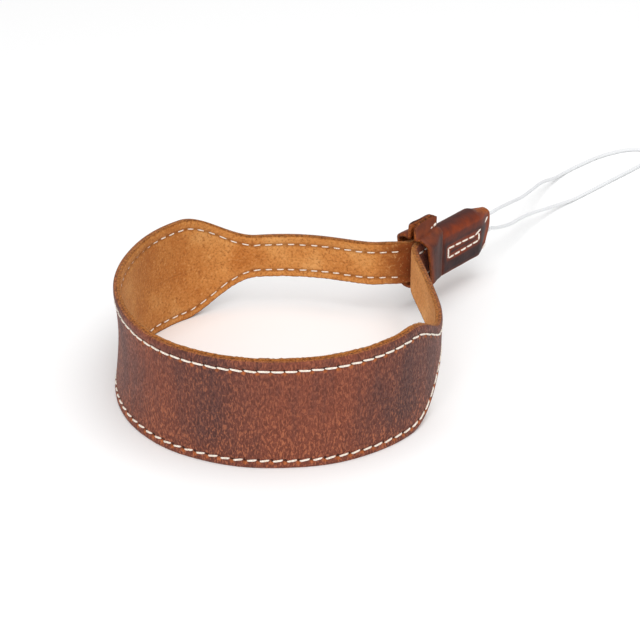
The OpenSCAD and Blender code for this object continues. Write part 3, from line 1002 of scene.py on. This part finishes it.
class STRAP_OT_cord(bpy.types.Operator):
    """Adds the thin cord loop, which leaves the tab's nose and comes back to it"""

    bl_idname = "strap.add_cord"
    bl_label = "Cord loop"

    def execute(self, context):
        line = cord_line()
        reach = [0.0]
        for one, two in zip(line, line[1:]):
            reach.append(reach[-1] + (two - one).length)
        index = {distance: i for i, distance in enumerate(reach)}
        bm = rolled(reach, lambda distance: cord_ring_at(line, index[distance]))
        cord = finish_piece("cord", bm, once(braided_cord), "strap", ["cord_loop"])
        knot = frame["nodes"]["cord_knot"]
        knot.data.materials.clear()
        knot.data.materials.append(once(waxed_thread))
        return {"FINISHED"}


class STRAP_OT_band(bpy.types.Operator):
    """Adds the outer leather and its suede lining"""

    bl_idname = "strap.add_band"
    bl_label = "Band"

    def execute(self, context):
        finish_piece("band_leather", rolled(BAND_STATIONS, leather_ring), once(band_leather),
                     "strap", ["outer_leather"])
        finish_piece("band_suede", rolled(BAND_STATIONS, suede_ring), once(suede), "strap",
                     ["suede_lining"])
        return {"FINISHED"}


class STRAP_OT_seams(bpy.types.Operator):
    """Adds the stitches along both edges of the band, on its leather and on its suede"""

    bl_idname = "strap.add_seams"
    bl_label = "Seams"

    def execute(self, context):
        first = STRAP_END - TAB_START
        lining_first = STRAP_END - 1
        thread = once(waxed_thread)
        width = context.scene.strap_sizes.thread_width / MM
        for upper, place, long, slant in ((True, "top", 3.5, -4), (False, "bottom", 2.9, 10)):
            bm = sew_seam(upper, first, BAND_L - first, LEATHER - 0.02, long,
                          math.radians(slant), width, 0.52)
            finish_piece(place + "_stitches", bm, thread, "strap", [place + "_seam"])
            bm = sew_seam(upper, lining_first, BAND_L - lining_first, -(LINING - 0.2), 2.3,
                          math.radians(-2), 0.46, 0.36)
            finish_piece(place + "_lining_stitches", bm, thread, "strap",
                         [place + "_lining_seam"])
        return {"FINISHED"}


class STRAP_OT_tab(bpy.types.Operator):
    """Adds the folded tab, its box of stitches and the stitches that close its nose"""

    bl_idname = "strap.add_tab"
    bl_label = "Tab"

    def execute(self, context):
        stations = [TAB_START, TAB_START + 0.12, TAB_START + 0.4]
        stations += spaced(TAB_START + 0.8, TAB_END - 1, 0.6)
        stations += [TAB_END - 0.6, TAB_END - 0.3, TAB_END]
        finish_piece("tab", rolled(stations, tab_ring), once(tab_leather), "strap",
                     ["tab_cover"])
        thread = once(waxed_thread)
        width = context.scene.strap_sizes.thread_width / MM
        bm = bmesh.new()
        for side in (-1, 1):
            sew_between(bm, BOX[0], BOX[1], 5, side, width)
            sew_between(bm, BOX[1], BOX[2], 1, side, width, 1.05)
            sew_between(bm, BOX[3], LAST_STITCH[0], 4, side, width)
            sew_between(bm, BOX[3], BOX[0], 1, side, width, 1.05)
            sew_between(bm, *LAST_STITCH, 1, side, width, 1.0)
        finish_piece("tab_box_stitches", bm, thread, "strap", ["tab_box_stitch"])
        bm = bmesh.new()
        for side in (-1, 1):
            sew_between(bm, (35.5, 20), (38.5, 21), 1, side, 0.95, 1.0)
            sew_between(bm, (35, 11), (37.5, 11.5), 1, side, 0.95, 1.0)
        finish_piece("tab_nose_stitches", bm, thread, "strap", ["tab_end_stitches"])
        return {"FINISHED"}


class STRAP_OT_keeper(bpy.types.Operator):
    """Adds the sliding keeper and the stitches along its fin"""

    bl_idname = "strap.add_keeper"
    bl_label = "Keeper"

    def execute(self, context):
        bm = rolled(list(range(len(keeper_line()))), keeper_ring)
        finish_piece("keeper", bm, once(keeper_leather), "keeper", ["keeper_strip"])
        bm = bmesh.new()
        for a, z, long in ((6.5, 27.5, 2), (9, 27.5, 2), (11, 28, 1.5)):
            for side in (-1, 1):
                def put(x, y, out, a=a, z=z, side=side):
                    return on_axis(a + x, side * (KEEPER_T + out - 0.05), z + y + 0.25 * x)
                add_stitch(bm, long, 1.05, 0.6, put)
        finish_piece("keeper_fin_stitches", bm, once(waxed_thread), "keeper",
                     ["keeper_stitches"])
        return {"FINISHED"}


class STRAP_OT_stage(bpy.types.Operator):
    """Adds the floor and the lights"""

    bl_idname = "strap.add_stage"
    bl_label = "Stage"

    def execute(self, context):
        stage = context.scene.strap_stage
        bm = bmesh.new()
        bmesh.ops.create_grid(bm, x_segments=2, y_segments=2, size=6)
        mesh = bpy.data.meshes.new("floor")
        bm.to_mesh(mesh)
        bm.free()
        floor = bpy.data.objects.new("floor", mesh)
        context.scene.collection.objects.link(floor)
        material, tree = new_material("matt_white_paper")
        shader = add(tree, "ShaderNodeBsdfDiffuse", {"Color": (0.93, 0.93, 0.93, 1)})
        add(tree, "ShaderNodeOutputMaterial", {0: shader.outputs[0]})
        mesh.materials.append(material)
        lights = [("key_light", stage.key, 1.1, (0.15, -0.15, 1.2)),
                  ("fill_light", stage.fill, 1.0, (-0.2, -1.1, 0.75))]
        for name, power, size, place in lights:
            data = bpy.data.lights.new(name, "AREA")
            data.energy = power
            data.size = size
            light = bpy.data.objects.new(name, data)
            light.location = place
            light.rotation_euler = (-Vector(place)).to_track_quat("-Z", "Y").to_euler()
            context.scene.collection.objects.link(light)
        world = bpy.data.worlds.new("studio")
        world.use_nodes = True
        world.node_tree.nodes.clear()
        sky = add(world.node_tree, "ShaderNodeBackground",
                  {"Color": (1, 1, 1, 1), "Strength": stage.ambient})
        add(world.node_tree, "ShaderNodeOutputWorld", {0: sky.outputs[0]})
        context.scene.world = world
        context.scene.view_settings.view_transform = "Standard"
        return {"FINISHED"}


class STRAP_PT_panel(bpy.types.Panel):
    """The strap's settings and pieces"""

    bl_idname = "STRAP_PT_panel"
    bl_label = "Wrist strap"
    bl_space_type = "VIEW_3D"
    bl_region_type = "UI"
    bl_category = "Wrist strap"

    def draw(self, context):
        for group in ("strap_sizes", "strap_colours", "strap_stage"):
            settings = getattr(context.scene, group)
            for name in settings.__annotations__:
                self.layout.prop(settings, name)
        for operator in OPERATORS:
            self.layout.operator(operator.bl_idname)


OPERATORS = (STRAP_OT_camera, STRAP_OT_cord, STRAP_OT_band, STRAP_OT_seams, STRAP_OT_tab,
             STRAP_OT_keeper, STRAP_OT_stage)
CLASSES = (StrapSizes, StrapColours, StrapStage, *OPERATORS, STRAP_PT_panel)


def register():
    for cls in CLASSES:
        bpy.utils.register_class(cls)
    bpy.types.Scene.strap_sizes = bpy.props.PointerProperty(type=StrapSizes)
    bpy.types.Scene.strap_colours = bpy.props.PointerProperty(type=StrapColours)
    bpy.types.Scene.strap_stage = bpy.props.PointerProperty(type=StrapStage)


def unregister():
    for group in ("strap_sizes", "strap_colours", "strap_stage"):
        delattr(bpy.types.Scene, group)
    for cls in reversed(CLASSES):
        bpy.utils.unregister_class(cls)


def main():
    register()
    bpy.ops.strap.add_camera()
    bpy.ops.strap.add_cord()
    bpy.ops.strap.add_band()
    bpy.ops.strap.add_seams()
    bpy.ops.strap.add_tab()
    bpy.ops.strap.add_keeper()
    bpy.ops.strap.add_stage()


if __name__ == "__main__":
    main()
